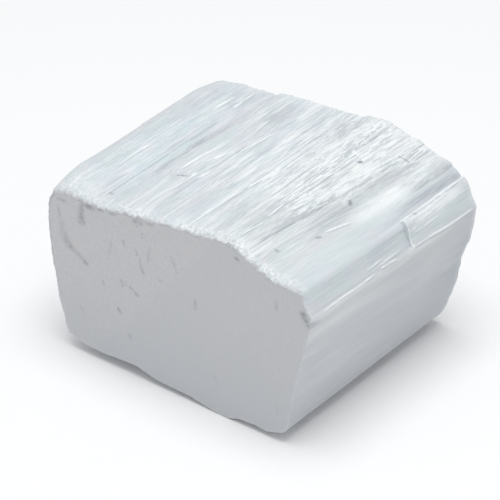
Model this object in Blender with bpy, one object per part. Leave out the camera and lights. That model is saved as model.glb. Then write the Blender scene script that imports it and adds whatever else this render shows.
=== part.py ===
"""Selenite block: a short sawn chunk of fibrous selenite (satin spar), grown as one piece, one solid.

Metres, +Z up. The fibres run along Y, the clean sawn face looks towards -Y, and the block rests on
z = 0 with its origin at the centre of its base.

The form is a loft between two outlines, one at each sawn end. A place on its surface is named by
`around`, the distance along the mean outline from the base's left edge (up the left side, over the
top, down the right side and back under), and `along`, which is y. Relief is then added square to
the surface: bundles of fibres, the ledge, the raised flake, the groove, splinters and broken edges.
"""

import bmesh
import bpy
import numpy as np

MM = 0.001

DEPTH = 41.25 * MM  # along the fibres
FRONT = -DEPTH / 2
BACK = DEPTH / 2

# Stations of the outline: name, then x and z at the front end, and x and z at the back end.
OUTLINE = (
    ("base_left", (-19.0, 0.0), (-19.5, 0.0)),
    ("left_foot", (-22.1, 2.9), (-22.0, 2.6)),
    ("left_low", (-23.6, 9.0), (-23.6, 8.8)),
    ("left_mid", (-24.4, 15.0), (-24.9, 15.0)),
    ("left_wide", (-25.0, 20.6), (-25.8, 21.0)),
    ("left_high", (-24.7, 24.6), (-25.7, 26.0)),
    ("left_top", (-23.7, 26.9), (-24.8, 28.4)),
    ("top_left", (-22.0, 27.3), (-23.2, 29.2)),
    ("top_groove", (-15.4, 27.8), (-15.0, 30.2)),
    ("top_middle", (-7.5, 28.8), (-7.8, 31.1)),
    ("top_right", (1.1, 29.8), (0.5, 31.5)),
    ("crest_left", (9.4, 30.8), (8.3, 32.9)),
    ("crest", (10.8, 30.4), (15.6, 31.0)),
    ("ledge", (13.2, 29.4), (17.1, 30.0)),
    ("valley", (16.4, 28.0), (20.2, 29.8)),
    ("facet", (19.5, 27.4), (22.3, 28.7)),
    ("facet_low", (23.0, 27.5), (23.7, 27.0)),
    ("facet_end", (23.7, 25.1), (24.7, 25.2)),
    ("ridge", (25.1, 23.8), (25.8, 23.3)),
    ("right_high", (24.5, 21.6), (25.5, 20.6)),
    ("right_upper", (23.9, 18.0), (24.8, 17.0)),
    ("right_mid", (22.8, 14.0), (23.5, 13.0)),
    ("right_lower", (22.0, 10.0), (22.8, 9.0)),
    ("right_low", (21.2, 5.4), (21.7, 5.0)),
    ("right_foot", (20.6, 2.1), (20.6, 2.1)),
    ("base_right", (15.0, 0.0), (14.5, 0.0)),
    ("base_middle", (-2.0, 0.0), (-2.0, 0.0)),
)

ROUNDING = 0.9 * MM  # how far the plain outline's corners are eased, each way
RIDGE_ROUNDING = 0.25 * MM  # the same at the ridge on the right, which stays crisp
RIDGE_REACH = 3.0 * MM  # how far from the ridge it stays so
CORNER_REACH = 2.0 * MM  # the same at the facet's corner above it
CORNER_CRISPNESS = 0.8  # as a share of the ridge's
SLOPE_STEP = 0.8 * MM  # how far ahead and behind the outline's direction is measured

# Fibre bundles: width across, usual length between breaks, height each way.
BUNDLE_WIDTH = 2.6 * MM
BUNDLE_LENGTH = 26.0 * MM
BUNDLE_HEIGHT = 0.16 * MM
STRAND_WIDTH = 1.1 * MM
STRAND_LENGTH = 15.0 * MM
STRAND_HEIGHT = 0.09 * MM

# How much of that relief each part of the outline has.
FIBRE_SHARES = (
    ("base_left", 0.0),
    ("left_low", 0.9),
    ("top_left", 1.0),
    ("crest", 1.0),
    ("valley", 0.6),
    ("facet_low", 0.6),
    ("ridge", 0.3),
    ("right_foot", 0.25),
    ("base_right", 0.0),
)

RIM_RISE = 0.5 * MM  # how far the top stands above the sawn face's upper edge
RIM_DEPTH = 1.3 * MM  # how far back the crushed rim reaches
RIM_TEETH = 120  # how many high and low places there are round it
RIM_UNEVENNESS = 0.35  # how much its depth changes between them
BACK_CHIP = 0.3 * MM  # how far the back end's edge is broken down
BACK_CHIP_DEPTH = 1.2 * MM  # and how far in from the end

# How far the top's left shoulder stands out from the plain loft, at each y along it.
SHOULDER = ((-20.6, 0.6), (-17.0, 1.3), (-13.6, 1.6), (-5.8, 1.4), (8.0, 1.3), (15.0, 1.1), (20.6, 0.2))
SHOULDER_REACH = 9.0 * MM

LEDGE_DROP = 0.75 * MM  # from the top layer down to the valley beside it
LEDGE_LUMP = 0.25 * MM  # how far the crest stands up beside that
LEDGE_RISE = (-9.0 * MM, 3.0 * MM)  # y from where to where the ledge grows to its full height
LEDGE_FADE = 12.0 * MM  # y from where it dwindles again towards the back
LEDGE_LEFT = 0.2  # the share of it left at the back end
BAND_DROP = 0.3 * MM  # of the smooth band above the flake
BAND_RISE = (-6.0 * MM, 4.0 * MM)  # y from where to where the band sinks to its full depth
FLAKE_FRONT = 3.9 * MM  # y of the flake's broken end
FLAKE_BREAK = 0.15 * MM  # half the length over which that end drops
FLAKE_THICKNESS = 0.42 * MM
FLAKE_LEFT = 0.4  # the share of its thickness left at the back end
FLAKE_SLANT = 0.035  # how fast its upper edge climbs towards the back
FLAKE_HOLLOW = 0.14 * MM  # depth of the hollow in front of it
FLAKE_HOLLOW_LENGTH = 8.0 * MM
# Share of the way from the flake's upper edge to its lower one, and share of the thickness there.
FLAKE_PROFILE = ((-0.02, 0.0), (0.02, 1.0), (0.45, 1.1), (0.55, 0.7), (0.9, 0.6), (1.0, 0.0))
GROOVE_DEPTH = 0.3 * MM
GROOVE_REACH = 1.0 * MM  # half its width
GROOVE_RISE = (-16.0 * MM, -4.0 * MM)  # y from where to where it deepens
PLATE_HEIGHT = 0.28 * MM
PLATE_FRONT = -7.7 * MM  # y of the splinter plate's broken end
PLATE_FADE = (-2.0 * MM, 9.0 * MM)  # y from where to where it sinks back into the top
PLATE_EDGE = 0.4 * MM  # how wide its sloping edges are

# How far the underside's front edge is broken up, at each x across it.
FOOT_CHIPS = (
    (-21.8, 0.0),
    (-19.0, 1.7),
    (-14.6, 1.6),
    (-11.1, 1.9),
    (-8.0, 2.0),
    (-4.2, 1.1),
    (2.5, 0.9),
    (5.5, 0.4),
    (8.4, 0.0),
    (9.9, 0.1),
    (12.0, 0.9),
    (15.0, 1.0),
    (17.1, 0.1),
    (19.0, 0.0),
)
FOOT_CHIP_SLOPE = 3.2  # how long each chip runs back for its height

# How close the surface's points stand: on the top, on the sides, on the base, along the fibres, and
# where something ends.
TOP_SPACING = 1.05 * MM
SIDE_SPACING = 1.7 * MM
BASE_SPACING = 4.0 * MM
ALONG_SPACING = 1.6 * MM
END_SPACING = 0.5 * MM

FRONT_POINTS = np.array([front for _, front, _ in OUTLINE]) * MM
BACK_POINTS = np.array([back for _, _, back in OUTLINE]) * MM


def measure_stations():
    """Distance of each station along the mean outline, and the whole way round."""
    mean = (FRONT_POINTS + BACK_POINTS) / 2
    steps = np.linalg.norm(np.roll(mean, -1, axis=0) - mean, axis=1)
    reached = np.cumsum(steps)
    places = {name: place for (name, _, _), place in zip(OUTLINE, reached - steps)}
    return places, reached[-1]


STATION, PERIMETER = measure_stations()

# Distances around where the features run.
CREST_LINE = STATION["crest"] + 0.8 * MM  # the top layer's lump
LEDGE_TOP = STATION["ledge"] - 0.5 * MM  # the slope down beside it
LEDGE_FOOT = STATION["ledge"] + 1.4 * MM
VALLEY_END = STATION["facet"] + 0.5 * MM  # where the valley has risen again
BAND_TOP = STATION["valley"] + 0.5 * MM  # the slope down into the band
BAND_FOOT = STATION["valley"] + 1.7 * MM
FLAKE_UPPER = STATION["facet"] + 1.9 * MM  # the flake's upper edge, at its broken end
FLAKE_LOWER = STATION["ridge"] - 0.3 * MM
GROOVE_LINE = STATION["top_groove"] + 2.3 * MM
PLATE_LEFT = STATION["top_groove"] + 3.4 * MM
PLATE_RIGHT = STATION["top_middle"] + 0.6 * MM


def ease(start, end, value):
    """0 before start, 1 after end, and a smooth rise between them."""
    share = np.clip((value - start) / (end - start), 0, 1)
    return share * share * (3 - 2 * share)


def hump(centre, reach, value):
    """1 at the centre, easing to 0 at the reach on each side."""
    return 1 - ease(0, reach, np.abs(value - centre))


def plain_outline(around, along):
    """x and z of the loft at a place, with straight runs between the stations."""
    marks = np.append(list(STATION.values()), PERIMETER)
    around = around % PERIMETER
    share = (along - FRONT) / DEPTH
    sides = []
    for axis in (0, 1):
        front = np.interp(around, marks, np.append(FRONT_POINTS[:, axis], FRONT_POINTS[0, axis]))
        back = np.interp(around, marks, np.append(BACK_POINTS[:, axis], BACK_POINTS[0, axis]))
        sides.append(front + (back - front) * share)
    return np.array(sides)


def eased_outline(around, along):
    """The loft with its corners eased, less at the ridge and at the facet's corner above it."""
    ridge = hump(STATION["ridge"], RIDGE_REACH, around)
    corner = hump(STATION["facet_low"], CORNER_REACH, around)
    reach = ROUNDING + (RIDGE_ROUNDING - ROUNDING) * np.maximum(ridge, CORNER_CRISPNESS * corner)
    shifts = (-1, -0.5, 0, 0.5, 1)
    return sum(plain_outline(around + shift * reach, along) for shift in shifts) / len(shifts)


def outward(around, along):
    """Direction square to the loft, in x and z."""
    ahead = eased_outline(around + SLOPE_STEP, along)
    behind = eased_outline(around - SLOPE_STEP, along)
    run = ahead - behind
    run = run / np.linalg.norm(run, axis=0)
    return np.array([-run[1], run[0]])


def bundles(around, along, width, length, seed):
    """Bundles of fibres: each has its own heights, from -1 to 1, with a break between stretches."""
    rng = np.random.default_rng(seed)
    edges = np.cumsum(rng.uniform(0.5, 1.5, int(1.5 * PERIMETER / width))) * width
    heights = rng.uniform(-1, 1, (len(edges) + 1, 24))
    spans = rng.uniform(0.5, 1.6, len(edges) + 1) * length
    starts = rng.uniform(0, 1, len(edges) + 1)
    which = np.searchsorted(edges, around % PERIMETER)
    reached = (along - FRONT) / spans[which] + starts[which]
    stretch = np.floor(reached).astype(int).clip(0, 22)
    here = heights[which, stretch]
    further = heights[which, stretch + 1]
    return here + (further - here) * ease(0.9, 1.0, reached - stretch)


def fibre_relief(around, along):
    """Bundles and strands, strongest on the top and left, faint on the right, none on the base."""
    places = [STATION[name] for name, _ in FIBRE_SHARES]
    amount = np.interp(around, places, [share for _, share in FIBRE_SHARES])
    coarse = BUNDLE_HEIGHT * bundles(around, along, BUNDLE_WIDTH, BUNDLE_LENGTH, 11)
    fine = STRAND_HEIGHT * bundles(around, along, STRAND_WIDTH, STRAND_LENGTH, 12)
    return amount * (coarse + fine)


def shoulder_relief(around, along):
    """The swell of the top's left shoulder, which falls away at both sawn ends."""
    places = [place * MM for place, _ in SHOULDER]
    heights = [height * MM for _, height in SHOULDER]
    swell = np.interp(along, places, heights)
    return swell * hump(STATION["left_top"] + 1 * MM, SHOULDER_REACH, around)


def ledge_relief(around, along):
    """The top layer's broken edge: a lump along the crest and a valley beside it."""
    length = ease(*LEDGE_RISE, along) * (1 - (1 - LEDGE_LEFT) * ease(LEDGE_FADE, BACK, along))
    lump = LEDGE_LUMP * hump(CREST_LINE, 2 * MM, around)
    across = ease(LEDGE_TOP, LEDGE_FOOT, around) * (1 - ease(STATION["valley"], VALLEY_END, around))
    return length * (lump - LEDGE_DROP * across)


def flake_upper(along):
    """Where the flake's upper edge runs, as a distance around."""
    return FLAKE_UPPER - FLAKE_SLANT * (along - FLAKE_FRONT)


def band_relief(around, along):
    """The smooth band between the valley and the flake, sunk a little below both."""
    upper = flake_upper(along)
    across = ease(BAND_TOP, BAND_FOOT, around) * (1 - ease(upper - 0.15 * MM, upper + 0.15 * MM, around))
    return -BAND_DROP * across * ease(*BAND_RISE, along)


def flake_share(around, along):
    """How much of the flake's thickness stands at a place: it steps up at its top and thins out below."""
    upper = flake_upper(along)
    return np.interp((around - upper) / (FLAKE_LOWER - upper), *zip(*FLAKE_PROFILE))


def flake_relief(around, along):
    """The raised flake above the ridge, with a broken end across it and a hollow in front of that."""
    hollow = FLAKE_HOLLOW * ease(FLAKE_FRONT - FLAKE_HOLLOW_LENGTH, FLAKE_FRONT, along)
    raised = FLAKE_THICKNESS * (1 - (1 - FLAKE_LEFT) * ease(FLAKE_FRONT, BACK, along))
    return flake_share(around, along) * np.where(along < FLAKE_FRONT, -hollow, raised)


def groove_relief(around, along):
    """The dark groove along the top's left part, fading out towards the front."""
    return -GROOVE_DEPTH * hump(GROOVE_LINE, GROOVE_REACH, around) * ease(*GROOVE_RISE, along)


def plate_relief(around, along):
    """The splinter plate beside the groove: it starts at a broken end and sinks back into the top."""
    start = ease(PLATE_LEFT, PLATE_LEFT + PLATE_EDGE, around)
    across = start * (1 - ease(PLATE_RIGHT - PLATE_EDGE, PLATE_RIGHT, around))
    length = ease(PLATE_FRONT, PLATE_FRONT + PLATE_EDGE, along) * (1 - ease(*PLATE_FADE, along))
    return PLATE_HEIGHT * across * length


def top_share(around):
    """1 on the top and the upper right, 0 on the sides and the base."""
    start = ease(STATION["left_high"], STATION["top_left"], around)
    return start * (1 - ease(STATION["facet_low"], STATION["ridge"], around))


def not_base(around):
    """1 on the top and the sides, 0 on the base."""
    share = 1 - ease(STATION["right_low"], STATION["base_right"], around)
    return share * ease(STATION["base_left"], STATION["left_foot"], around)


def rim_teeth(around):
    """Unevenness of the broken edges, -1 to 1."""
    rng = np.random.default_rng(21)
    return np.interp(around, np.linspace(0, PERIMETER, RIM_TEETH), rng.uniform(-1, 1, RIM_TEETH))


def rim_relief(around, along):
    """The crushed rim at the front of the top, and the broken edge right round the back end."""
    teeth = rim_teeth(around)
    depth = RIM_DEPTH * (1 + RIM_UNEVENNESS * teeth)
    rise = RIM_RISE * ease(0, 1, (along - FRONT) / depth) * (BACK - along) / DEPTH
    chip = BACK_CHIP * (0.6 + 0.4 * teeth) * ease(BACK - BACK_CHIP_DEPTH, BACK, along)
    return top_share(around) * rise - not_base(around) * chip


def foot_lift(across, along):
    """How far the underside is broken up at its front edge."""
    places = [place * MM for place, _ in FOOT_CHIPS]
    heights = [height * MM for _, height in FOOT_CHIPS]
    lift = np.interp(across, places, heights)
    reach = FOOT_CHIP_SLOPE * lift + 1e-6
    return lift * (1 - np.clip((along - FRONT) / reach, 0, 1))


def surface(around, along):
    """The finished surface: x, y and z at each place."""
    across, height = eased_outline(around, along)
    aside, upward = outward(around, along)
    relief = (
        fibre_relief(around, along)
        + shoulder_relief(around, along)
        + ledge_relief(around, along)
        + band_relief(around, along)
        + flake_relief(around, along)
        + groove_relief(around, along)
        + plate_relief(around, along)
        + rim_relief(around, along)
    )
    across = across + relief * aside
    height = height + relief * upward
    underneath = (around > STATION["right_foot"]) | (around < STATION["left_foot"])
    height = height + np.where(underneath, foot_lift(across, along), 0)
    return np.stack([across, along, np.maximum(height, 0)], axis=-1)


def divided(stops, spacings):
    """Values from the first stop to the last, each run divided evenly at about its own spacing."""
    values = [stops[0]]
    for start, end, spacing in zip(stops, stops[1:], spacings):
        steps = max(1, round((end - start) / spacing))
        values.extend(start + (end - start) * step / steps for step in range(1, steps + 1))
    return np.array(values)


def places_around():
    """Sampling round the outline: close on the top, wider on the sides, widest on the base."""
    stops = list(STATION.values()) + [PERIMETER]
    spacings = []
    for name, _, _ in OUTLINE:
        if name in ("base_right", "base_middle"):
            spacings.append(BASE_SPACING)
        elif name.startswith(("left", "right", "base")):
            spacings.append(SIDE_SPACING)
        else:
            spacings.append(TOP_SPACING)
    return divided(stops, spacings)[:-1]


def places_along():
    """Sampling along the fibres: close at both ends and where the plate and the flake break off."""
    stops = [FRONT, FRONT + RIM_DEPTH, PLATE_FRONT, PLATE_FRONT + PLATE_EDGE]
    stops += [FLAKE_FRONT - FLAKE_BREAK, FLAKE_FRONT + FLAKE_BREAK, BACK - BACK_CHIP_DEPTH, BACK]
    return divided(stops, [END_SPACING, ALONG_SPACING] * 3 + [END_SPACING])


def block_mesh():
    """Rings of points joined by quads, closed by one flat face at each sawn end."""
    around, along = np.meshgrid(places_around(), places_along())
    points = surface(around, along)
    middle = (points.max(axis=(0, 1)) + points.min(axis=(0, 1))) / 2
    points[..., 0] -= middle[0]
    bm = bmesh.new()
    rings = [[bm.verts.new(point) for point in ring] for ring in points]
    count = len(rings[0])
    for ring, behind in zip(rings, rings[1:]):
        for place in range(count):
            ahead = (place + 1) % count
            bm.faces.new((ring[place], behind[place], behind[ahead], ring[ahead]))
    bm.faces.new(rings[0])
    bm.faces.new(list(reversed(rings[-1])))
    bmesh.ops.recalc_face_normals(bm, faces=bm.faces)
    bmesh.ops.triangulate(bm, faces=bm.faces)
    mesh = bpy.data.meshes.new("selenite_block")
    bm.to_mesh(mesh)
    bm.free()
    return mesh


def satin_spar():
    """Milky white selenite with a silky surface."""
    material = bpy.data.materials.new("satin_spar")
    material.use_nodes = True
    shader = material.node_tree.nodes["Principled BSDF"]
    shader.inputs["Base Color"].default_value = (0.82, 0.85, 0.87, 1)
    shader.inputs["Roughness"].default_value = 0.45
    shader.inputs["Metallic"].default_value = 0
    return material


def main():
    for old in list(bpy.data.objects):
        bpy.data.objects.remove(old)
    mesh = block_mesh()
    mesh.materials.append(satin_spar())
    block = bpy.data.objects.new("selenite_block", mesh)
    bpy.context.collection.objects.link(block)


main()
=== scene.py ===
"""The finished look of the selenite block: its fine fibrous surface, materials, light and camera.

The block's form repeats the solid's named values, then adds the detail too fine for the solid:
threads and splinters of the satin spar, crushed crystal at the sawn rim, and the marks on the face.
A place on the surface is named by `around`, the distance along the mean outline from the base's
left edge, and `along`, which is y, the direction of the fibres. Lengths are in metres.
"""

import itertools
import math

import bpy
import numpy as np
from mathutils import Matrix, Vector


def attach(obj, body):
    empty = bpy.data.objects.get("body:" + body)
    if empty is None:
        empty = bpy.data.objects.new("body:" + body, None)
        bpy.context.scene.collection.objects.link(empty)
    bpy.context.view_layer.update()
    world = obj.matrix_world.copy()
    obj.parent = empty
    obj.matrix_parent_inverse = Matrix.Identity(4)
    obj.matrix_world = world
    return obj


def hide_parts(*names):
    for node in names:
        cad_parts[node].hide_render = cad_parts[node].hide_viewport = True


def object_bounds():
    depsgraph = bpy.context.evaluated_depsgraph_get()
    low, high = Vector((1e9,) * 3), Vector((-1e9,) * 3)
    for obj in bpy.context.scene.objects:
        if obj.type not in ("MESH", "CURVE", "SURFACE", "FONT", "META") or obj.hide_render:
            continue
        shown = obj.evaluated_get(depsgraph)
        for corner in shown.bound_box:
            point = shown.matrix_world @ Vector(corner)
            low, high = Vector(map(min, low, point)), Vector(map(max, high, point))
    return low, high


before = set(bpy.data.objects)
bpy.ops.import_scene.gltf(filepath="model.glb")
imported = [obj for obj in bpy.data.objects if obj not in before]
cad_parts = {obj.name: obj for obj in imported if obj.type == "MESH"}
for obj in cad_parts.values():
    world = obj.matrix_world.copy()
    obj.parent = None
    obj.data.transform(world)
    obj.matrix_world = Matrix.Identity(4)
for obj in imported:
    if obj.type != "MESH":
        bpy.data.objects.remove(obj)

CAD_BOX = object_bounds()
MM = 0.001

# ---------- the form, as in the solid
# Each value means what it does in the solid's own source.

DEPTH = 41.25 * MM
FRONT = -DEPTH / 2
BACK = DEPTH / 2

# Stations of the outline: name, then x and z at the front end, and x and z at the back end.
OUTLINE = (
    ("base_left", (-19, 0), (-19.5, 0)),
    ("left_foot", (-22.1, 2.9), (-22, 2.6)),
    ("left_low", (-23.6, 9), (-23.6, 8.8)),
    ("left_mid", (-24.4, 15), (-24.9, 15)),
    ("left_wide", (-25, 20.6), (-25.8, 21)),
    ("left_high", (-24.7, 24.6), (-25.7, 26)),
    ("left_top", (-23.7, 26.9), (-24.8, 28.4)),
    ("top_left", (-22, 27.3), (-23.2, 29.2)),
    ("top_groove", (-15.4, 27.8), (-15, 30.2)),
    ("top_middle", (-7.5, 28.8), (-7.8, 31.1)),
    ("top_right", (1.1, 29.8), (0.5, 31.5)),
    ("crest_left", (9.4, 30.8), (8.3, 32.9)),
    ("crest", (10.8, 30.4), (15.6, 31)),
    ("ledge", (13.2, 29.4), (17.1, 30)),
    ("valley", (16.4, 28), (20.2, 29.8)),
    ("facet", (19.5, 27.4), (22.3, 28.7)),
    ("facet_low", (23, 27.5), (23.7, 27)),
    ("facet_end", (23.7, 25.1), (24.7, 25.2)),
    ("ridge", (25.1, 23.8), (25.8, 23.3)),
    ("right_high", (24.5, 21.6), (25.5, 20.6)),
    ("right_upper", (23.9, 18), (24.8, 17)),
    ("right_mid", (22.8, 14), (23.5, 13)),
    ("right_lower", (22, 10), (22.8, 9)),
    ("right_low", (21.2, 5.4), (21.7, 5)),
    ("right_foot", (20.6, 2.1), (20.6, 2.1)),
    ("base_right", (15, 0), (14.5, 0)),
    ("base_middle", (-2, 0), (-2, 0)),
)

ROUNDING = 0.9 * MM
RIDGE_ROUNDING = 0.25 * MM
RIDGE_REACH = 3.0 * MM
CORNER_REACH = 2.0 * MM
CORNER_CRISPNESS = 0.8
SLOPE_STEP = 0.8 * MM

BUNDLE_WIDTH = 2.6 * MM
BUNDLE_LENGTH = 26.0 * MM
BUNDLE_HEIGHT = 0.16 * MM
STRAND_WIDTH = 1.1 * MM
STRAND_LENGTH = 15.0 * MM
STRAND_HEIGHT = 0.09 * MM

# How much of their full height the fibres have at the stations.
FIBRE_SHARES = (
    ("base_left", 0), ("left_low", 0.9), ("top_left", 1), ("crest", 1), ("valley", 0.6),
    ("facet_low", 0.6), ("ridge", 0.3), ("right_foot", 0.25), ("base_right", 0),
)

RIM_RISE = 0.5 * MM
RIM_DEPTH = 1.3 * MM
RIM_TEETH = 120
RIM_UNEVENNESS = 0.35
BACK_CHIP = 0.3 * MM
BACK_CHIP_DEPTH = 1.2 * MM

SHOULDER = ((-20.6, 0.6), (-17, 1.3), (-13.6, 1.6), (-5.8, 1.4), (8, 1.3), (15, 1.1), (20.6, 0.2))
SHOULDER_REACH = 9.0 * MM

LEDGE_DROP = 0.75 * MM
LEDGE_LUMP = 0.25 * MM
LEDGE_RISE = (-9.0 * MM, 3.0 * MM)
LEDGE_FADE = 12.0 * MM
LEDGE_LEFT = 0.2
BAND_DROP = 0.3 * MM
BAND_RISE = (-6.0 * MM, 4.0 * MM)
FLAKE_FRONT = 3.9 * MM
FLAKE_THICKNESS = 0.42 * MM
FLAKE_LEFT = 0.4
FLAKE_SLANT = 0.035
FLAKE_HOLLOW = 0.14 * MM
FLAKE_HOLLOW_LENGTH = 8.0 * MM
FLAKE_PROFILE = ((-0.02, 0.0), (0.02, 1.0), (0.45, 1.1), (0.55, 0.7), (0.9, 0.6), (1.0, 0.0))
GROOVE_DEPTH = 0.3 * MM
GROOVE_REACH = 1.0 * MM
GROOVE_RISE = (-16.0 * MM, -4.0 * MM)
PLATE_HEIGHT = 0.28 * MM
PLATE_FRONT = -7.7 * MM
PLATE_FADE = (-2.0 * MM, 9.0 * MM)
PLATE_EDGE = 0.4 * MM

# How high the front edge of the underside is broken up: x, then the height there, in mm.
FOOT_CHIPS = (
    (-21.8, 0), (-19, 1.7), (-14.6, 1.6), (-11.1, 1.9), (-8, 2), (-4.2, 1.1), (2.5, 0.9),
    (5.5, 0.4), (8.4, 0), (9.9, 0.1), (12, 0.9), (15, 1), (17.1, 0.1), (19, 0),
)
FOOT_CHIP_SLOPE = 3.2

# ---------- the fine detail

THREAD_WIDTH = 0.5 * MM
THREAD_LENGTH = 10.0 * MM
THREAD_HEIGHT = 0.05 * MM
HAIR_WIDTH = 0.24 * MM
HAIR_LENGTH = 6.0 * MM
HAIR_HEIGHT = 0.022 * MM

TOOTH_HEIGHT = 0.28 * MM  # how ragged the sawn face's upper border is
TOOTH_WIDTH = 0.75 * MM
TOOTH_REACH = 0.8 * MM  # how far back from the sawn face
UNBROKEN = 200 * MM  # a length so great that a bundle runs through
NOTCH_PLACE = 83.3 * MM  # around, of the small bite out of the sawn face's right corner
NOTCH_DEPTH = 0.45 * MM
NOTCH_REACH = 1.3 * MM
NOTCH_LENGTH = 1.6 * MM
FLAKE_RAGGEDNESS = 0.05 * MM  # of its broken end
FLAKE_CORNER = 81.7 * MM  # around, where its broken end meets its lower edge
STEP_SOFTNESS = 0.15 * MM  # half the width of the step up to the flake
GRAIN_SIZE = 0.42 * MM  # crumbs of crushed crystal
GRAIN_HEIGHT = 0.1 * MM
CHIP_SIZE = 0.32 * MM  # splinters' width
CHIP_STRETCH = 0.08  # their width for their length
CHIP_HEIGHT = 0.042 * MM

TOP_SPACING = 0.122 * MM
SIDE_SPACING = 0.4 * MM
BASE_SPACING = 0.8 * MM
ALONG_SPACING = 0.36 * MM
RIM_SPACING = 0.12 * MM
CAP_SMOOTHING = 0.7 * MM
CAP_BORDER = 0.45 * MM
CAP_WAVES = 0.05 * MM  # how far a sawn face is from flat
CAP_SHARES = (1.0, 0.97, 0.92, 0.85, 0.75, 0.62, 0.46, 0.28, 0.1)
SHARP_ANGLE = 55  # degrees: a sharper bend stays an edge

# How strong the hairlines are at the stations: strongest on the top's right part, faint on the sides.
STREAK_SHARES = (
    ("left_high", 0.2), ("top_left", 0.3), ("top_groove", 0.45), ("top_middle", 0.7), ("top_right", 1),
    ("crest", 1), ("valley", 0.45), ("facet", 0.25), ("facet_low", 0.15), ("right_high", 0.06),
)
CALM_AROUND = (50 * MM, 66 * MM)  # the front of the top's right part, where the fibres lie smooth
CALM_ALONG = (-14 * MM, -3 * MM)

# How crushed the front rim is, and how much painted shade and dirt darken its border: mm around, then the
# share there.
RIM_SHARES = ((30, 0.3), (38, 0.5), (60, 0.9), (74, 0.75), (79, 0.2))
RIM_SHADE_AND_DIRT_SHARES = ((8, 0), (14, 0.4), (29, 0.45), (46, 0.4), (54, 0.28), (66, 0.28), (72, 0.25), (80, 0))

# Distances around, of places that differ from the rest.
RIM_CORNER = 31 * MM
CRUMBLY_RISE = (48 * MM, 60 * MM)  # from where to where the top's right part turns crumbly
PEARLY_RISE = (52 * MM, 66 * MM)  # and pearly
PEARLY_END = 76 * MM
LUMP_PLACE = 69 * MM  # a crushed lump beside the ledge
CRUMBS_PLACE = 71.5 * MM  # the crumbs in the valley

FRONT_POINTS = np.array([front for _, front, _ in OUTLINE]) * MM
BACK_POINTS = np.array([back for _, _, back in OUTLINE]) * MM


def measure_stations():
    """Distance of each station along the mean outline, and the whole way round."""
    mean = (FRONT_POINTS + BACK_POINTS) / 2
    steps = np.linalg.norm(np.roll(mean, -1, axis=0) - mean, axis=1)
    reached = np.cumsum(steps)
    places = {name: place for (name, _, _), place in zip(OUTLINE, reached - steps)}
    return places, reached[-1]


STATION, PERIMETER = measure_stations()
CREST_LINE = STATION["crest"] + 0.8 * MM
LEDGE_TOP = STATION["ledge"] - 0.5 * MM
LEDGE_FOOT = STATION["ledge"] + 1.4 * MM
VALLEY_END = STATION["facet"] + 0.5 * MM
BAND_TOP = STATION["valley"] + 0.5 * MM
BAND_FOOT = STATION["valley"] + 1.7 * MM
FLAKE_UPPER = STATION["facet"] + 1.9 * MM
FLAKE_LOWER = STATION["ridge"] - 0.3 * MM
GROOVE_LINE = STATION["top_groove"] + 2.3 * MM
PLATE_LEFT = STATION["top_groove"] + 3.4 * MM
PLATE_RIGHT = STATION["top_middle"] + 0.6 * MM


def ease(start, end, value):
    """0 before start, 1 after end, and a smooth rise between them."""
    share = np.clip((value - start) / (end - start), 0, 1)
    return share * share * (3 - 2 * share)


def hump(centre, reach, value):
    """1 at the centre, easing to 0 at the reach on each side."""
    return 1 - ease(0, reach, np.abs(value - centre))


def between(start, end, value, soft=0.3 * MM):
    """1 from start to end, easing to 0 outside over a soft edge."""
    return ease(start - soft, start, value) * (1 - ease(end, end + soft, value))


def plain_outline(around, along):
    """x and z of the loft at a place, with straight runs between the stations."""
    marks = np.append(list(STATION.values()), PERIMETER)
    around = around % PERIMETER
    share = (along - FRONT) / DEPTH
    sides = []
    for axis in (0, 1):
        front = np.interp(around, marks, np.append(FRONT_POINTS[:, axis], FRONT_POINTS[0, axis]))
        back = np.interp(around, marks, np.append(BACK_POINTS[:, axis], BACK_POINTS[0, axis]))
        sides.append(front + (back - front) * share)
    return np.array(sides)


def eased_outline(around, along):
    """The loft with its corners eased, less at the ridge and at the facet's corner above it."""
    ridge = hump(STATION["ridge"], RIDGE_REACH, around)
    corner = hump(STATION["facet_low"], CORNER_REACH, around)
    reach = ROUNDING + (RIDGE_ROUNDING - ROUNDING) * np.maximum(ridge, CORNER_CRISPNESS * corner)
    shifts = (-1, -0.5, 0, 0.5, 1)
    return sum(plain_outline(around + shift * reach, along) for shift in shifts) / len(shifts)


def outward(around, along):
    """Direction square to the loft, in x and z."""
    ahead = eased_outline(around + SLOPE_STEP, along)
    behind = eased_outline(around - SLOPE_STEP, along)
    run = ahead - behind
    run = run / np.linalg.norm(run, axis=0)
    return np.array([-run[1], run[0]])


def stretches(rng, which, along, length, count, last):
    """Cuts strips of fibres into stretches: the stretch of its strip that a place is in, and how far in."""
    spans = rng.uniform(0.5, 1.6, count) * length
    starts = rng.uniform(0, 1, count)
    reached = (along - FRONT) / spans[which] + starts[which]
    stretch = np.floor(reached).astype(int).clip(0, last)
    return stretch, reached - stretch


def bundles(around, along, width, length, seed):
    """Bundles of fibres: each has its own heights, from -1 to 1, with a break between stretches."""
    rng = np.random.default_rng(seed)
    edges = np.cumsum(rng.uniform(0.5, 1.5, int(1.5 * PERIMETER / width))) * width
    heights = rng.uniform(-1, 1, (len(edges) + 1, 24))
    which = np.searchsorted(edges, around % PERIMETER)
    stretch, part = stretches(rng, which, along, length, len(heights), 22)
    here = heights[which, stretch]
    return here + (heights[which, stretch + 1] - here) * ease(0.9, 1.0, part)


def grain(points, size, seed):
    """Smooth random values, -1 to 1, that change over about `size` in space."""
    table = np.random.default_rng(seed).uniform(-1, 1, (32, 32, 32))
    place = points / size
    corner = np.floor(place).astype(int)
    share = place - corner
    share = share * share * (3 - 2 * share)
    total = 0
    for step in itertools.product((0, 1), repeat=3):
        weight = np.prod(np.where(step, share, 1 - share), axis=-1)
        cell = (corner + step) % 32
        total = total + weight * table[cell[..., 0], cell[..., 1], cell[..., 2]]
    return total


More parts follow.
